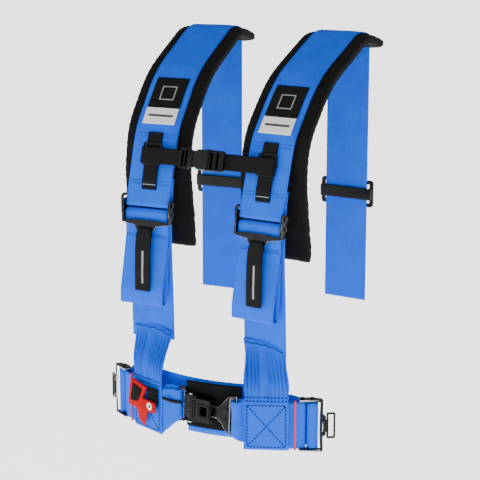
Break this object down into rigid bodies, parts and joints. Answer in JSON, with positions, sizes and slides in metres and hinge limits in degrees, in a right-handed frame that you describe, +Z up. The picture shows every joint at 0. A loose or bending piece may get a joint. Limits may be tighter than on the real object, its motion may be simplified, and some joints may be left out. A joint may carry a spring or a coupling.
{
  "type": "racing harness",
  "caption": "Four-point racing harness with padded blue shoulder straps, chest strap, strap adjusters and a centre lever latch.",
  "frame": {"origin": "midway between the crests of the two shoulder pads, on the line where they rest on the wearer's shoulders", "axes": "+X to the viewer's right when facing the harness, +Y from the chest to the back, +Z up"},
  "size_m": [0.4162, 0.3298, 0.6332],
  "materials": {
    "blue_webbing": "woven, semi-matt",
    "black_fabric": "woven, matt",
    "black_webbing": "woven, semi-matt",
    "black_plastic": "moulded, satin",
    "dark_metal": "black oxide, satin",
    "bright_metal": "plated",
    "red_fabric": "woven, satin",
    "pink_elastic": "woven elastic",
    "label_fabric": "woven label",
    "cable_sheath": "satin"
  },
  "bodies": {
    "root": {"left_shoulder_strap": "blue_webbing", "left_shoulder_pad": "black_fabric", "left_label_patch": "label_fabric", "left_chest_ladder": "black_webbing", "left_keeper_ring": "black_plastic", "left_lower_strap": "blue_webbing", "left_tail_loop": "blue_webbing", "left_strap_sleeve": "blue_webbing", "left_lap_strap": "blue_webbing", "left_anchor_strap": "blue_webbing", "right_shoulder_strap": "blue_webbing", "right_shoulder_pad": "black_fabric", "right_label_patch": "label_fabric", "right_chest_ladder": "black_webbing", "right_keeper_ring": "black_plastic", "right_lower_strap": "blue_webbing", "right_tail_loop": "blue_webbing", "right_strap_sleeve": "blue_webbing", "right_lap_strap": "blue_webbing", "right_anchor_strap": "blue_webbing", "buckle_pad": "black_fabric", "latch_base": "dark_metal", "latch_pin": "bright_metal", "latch_spring": "bright_metal", "elastic_keepers": "pink_elastic", "tab_patch": "black_fabric"},
    "left_adjuster": {"left_adjuster_frame": "dark_metal", "left_adjuster_pin": "bright_metal", "left_lock_bar": "dark_metal", "left_lock_wrap": "blue_webbing"},
    "left_tab": {"left_pull_tab": "black_webbing"},
    "left_lap_adjuster": {"left_lap_adjuster_frame": "dark_metal", "left_lap_adjuster_pin": "bright_metal", "left_lap_lock_bar": "dark_metal", "left_lap_lock_wrap": "blue_webbing"},
    "left_tab_ring": {"left_lap_ring": "dark_metal"},
    "left_slide": {"left_rear_slide": "black_plastic"},
    "left_chest": {"left_chest_ring": "black_plastic", "left_chest_strap": "black_webbing"},
    "right_adjuster": {"right_adjuster_frame": "dark_metal", "right_adjuster_pin": "bright_metal", "right_lock_bar": "dark_metal", "right_lock_wrap": "blue_webbing"},
    "right_tab": {"right_pull_tab": "black_webbing"},
    "right_lap_adjuster": {"right_lap_adjuster_frame": "dark_metal", "right_lap_adjuster_pin": "bright_metal", "right_lap_lock_bar": "dark_metal", "right_lap_lock_wrap": "blue_webbing"},
    "right_tab_ring": {"right_lap_ring": "dark_metal"},
    "right_slide": {"right_rear_slide": "black_plastic"},
    "right_chest": {"right_chest_ring": "black_plastic", "right_chest_strap": "black_webbing", "chest_buckle_female": "black_plastic"},
    "chest_insert": {"chest_buckle_male": "black_plastic"},
    "latch_lever": {"latch_lever": "dark_metal"},
    "release_tab": {"release_tab": "red_fabric", "tab_grommet": "bright_metal", "release_cable": "cable_sheath"},
    "latch_tongue": {"latch_tongue": "dark_metal", "tongue_rivets": "bright_metal"}
  },
  "joints": [
    {"name": "left_adjuster_tilt", "type": "hinge", "parent": "root", "child": "left_adjuster", "pos_m": [-0.10138, -0.22001, -0.243], "axis": [-0.9978, -0.0663, 0], "range_deg": [0, 30]},
    {"name": "left_tab_swing", "type": "hinge", "parent": "left_adjuster", "child": "left_tab", "pos_m": [-0.10052, -0.23298, -0.2821], "axis": [-0.9978, -0.0663, 0], "range_deg": [0, 75]},
    {"name": "left_slide_travel", "type": "slide", "parent": "root", "child": "left_slide", "axis": [0, 0, 1], "range_m": [-0.12, 0.14]},
    {"name": "left_lap_tilt", "type": "hinge", "parent": "root", "child": "left_lap_adjuster", "pos_m": [-0.16081, -0.19656, -0.571], "axis": [0, 0, 1], "range_deg": [0, 30]},
    {"name": "left_ring_swing", "type": "hinge", "parent": "left_lap_adjuster", "child": "left_tab_ring", "pos_m": [-0.19459, -0.18547, -0.571], "axis": [0, 0, 1], "range_deg": [-10, 80]},
    {"name": "right_adjuster_tilt", "type": "hinge", "parent": "root", "child": "right_adjuster", "pos_m": [0.10138, -0.22001, -0.243], "axis": [-0.9978, 0.0663, 0], "range_deg": [0, 30]},
    {"name": "right_tab_swing", "type": "hinge", "parent": "right_adjuster", "child": "right_tab", "pos_m": [0.10052, -0.23298, -0.2821], "axis": [-0.9978, 0.0663, 0], "range_deg": [0, 75]},
    {"name": "right_slide_travel", "type": "slide", "parent": "root", "child": "right_slide", "axis": [0, 0, 1], "range_m": [-0.12, 0.14]},
    {"name": "right_lap_tilt", "type": "hinge", "parent": "root", "child": "right_lap_adjuster", "pos_m": [0.16081, -0.19656, -0.571], "axis": [0, 0, -1], "range_deg": [0, 30]},
    {"name": "right_ring_swing", "type": "hinge", "parent": "right_lap_adjuster", "child": "right_tab_ring", "pos_m": [0.19459, -0.18547, -0.571], "axis": [0, 0, -1], "range_deg": [-10, 80]},
    {"name": "chest_strap_height", "type": "slide", "parent": "root", "child": "right_chest", "axis": [0, 0.294, 0.9558], "range_m": [-0.028, 0.004]},
    {"name": "chest_strap_height_left", "type": "slide", "parent": "root", "child": "left_chest", "axis": [0, 0.294, 0.9558], "range_m": [-0.028, 0.004]},
    {"name": "chest_buckle_release", "type": "slide", "parent": "left_chest", "child": "chest_insert", "axis": [-1, 0, 0], "range_m": [0, 0.03]},
    {"name": "latch_lever_open", "type": "hinge", "parent": "root", "child": "latch_lever", "pos_m": [-0.00099, -0.2636, -0.55053], "axis": [-0.0523, 0, -0.9986], "range_deg": [0, 100]},
    {"name": "release_tab_pull", "type": "slide", "parent": "root", "child": "release_tab", "axis": [-0.9986, 0, 0.0523], "range_m": [0, 0.01]},
    {"name": "tongue_travel", "type": "slide", "parent": "root", "child": "latch_tongue", "axis": [0.9986, 0, -0.0523], "range_m": [0, 0.003]}
  ],
  "couplings": [
    {"joint": "chest_strap_height_left", "follows": "chest_strap_height", "ratio": 1},
    {"joint": "release_tab_pull", "follows": "latch_lever_open", "m_per_rad": 0.0057296}
  ]
}
